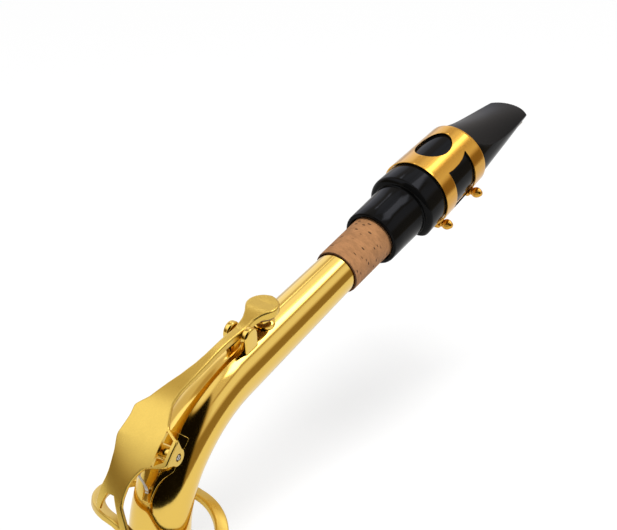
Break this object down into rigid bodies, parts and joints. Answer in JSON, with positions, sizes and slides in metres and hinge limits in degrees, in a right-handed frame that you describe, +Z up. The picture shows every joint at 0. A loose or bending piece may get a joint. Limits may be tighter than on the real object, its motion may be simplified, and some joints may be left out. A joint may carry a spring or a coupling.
{
  "type": "alto saxophone neck with mouthpiece",
  "caption": "Bent tapering alto saxophone neck with an octave key and its ring, and a mouthpiece with reed and ligature pushed onto the cork.",
  "frame": {"origin": "centre of the tenon's lower end", "axes": "+Z up the tenon's axis, +X towards the mouthpiece, -Y to the player's left"},
  "size_m": [0.2375, 0.0472, 0.1201],
  "materials": {
    "lacquer": "polished, gold lacquered",
    "satin_brass": "satin, gold lacquered",
    "ligature_gold": "brushed, gold lacquered",
    "hard_rubber": "polished",
    "cork": "sanded",
    "cane": "smooth",
    "steel": "polished",
    "pad_leather": "matte"
  },
  "bodies": {
    "neck": {"neck_tube": "lacquer", "tenon": "lacquer", "tenon_collar": "lacquer", "end_ring": "lacquer", "neck_cork": "cork", "octave_pip": "lacquer", "saddle_plate": "lacquer", "saddle_post": "lacquer", "guide_post_left": "lacquer", "guide_post_right": "lacquer"},
    "octave_key": {"octave_lever": "satin_brass", "octave_pad": "pad_leather", "key_ring": "satin_brass", "pivot_screw_left": "steel", "pivot_screw_right": "steel", "key_spring": "steel", "spring_screw": "steel"},
    "mouthpiece": {"mouthpiece": "hard_rubber"},
    "reed": {"reed": "cane"},
    "ligature": {"ligature_band": "ligature_gold", "ligature_lug_back_left": "ligature_gold", "ligature_lug_back_right": "ligature_gold", "ligature_lug_front_left": "ligature_gold", "ligature_lug_front_right": "ligature_gold"},
    "back_screw": {"ligature_screw_back": "ligature_gold"},
    "front_screw": {"ligature_screw_front": "ligature_gold"}
  },
  "joints": [
    {"name": "octave_key_hinge", "type": "hinge", "parent": "neck", "child": "octave_key", "pos_m": [-0.00698, 0, 0.06402], "axis": [0, -1, 0], "range_deg": [0, 4], "stiffness_Nm_per_rad": 0.2, "springref_deg": -5.73, "deforming": ["key_spring"]},
    {"name": "mouthpiece_slide", "type": "slide", "parent": "neck", "child": "mouthpiece", "axis": [0.9703, 0, 0.2419], "range_m": [-0.012, 0.03]},
    {"name": "reed_slide", "type": "slide", "parent": "mouthpiece", "child": "reed", "axis": [0.9592, 0, 0.2827], "range_m": [0, 0.02]},
    {"name": "ligature_slide", "type": "slide", "parent": "mouthpiece", "child": "ligature", "axis": [0.9703, 0, 0.2419], "range_m": [0, 0.03]},
    {"name": "back_screw_turn", "type": "hinge", "parent": "ligature", "child": "back_screw", "pos_m": [0.15593, -0.00099, 0.09056], "axis": [-0.019, -0.9969, 0.0761], "range_deg": [0, 720]},
    {"name": "front_screw_turn", "type": "hinge", "parent": "ligature", "child": "front_screw", "pos_m": [0.175, -0.00091, 0.09633], "axis": [-0.019, -0.9969, 0.0761], "range_deg": [0, 720]}
  ]
}
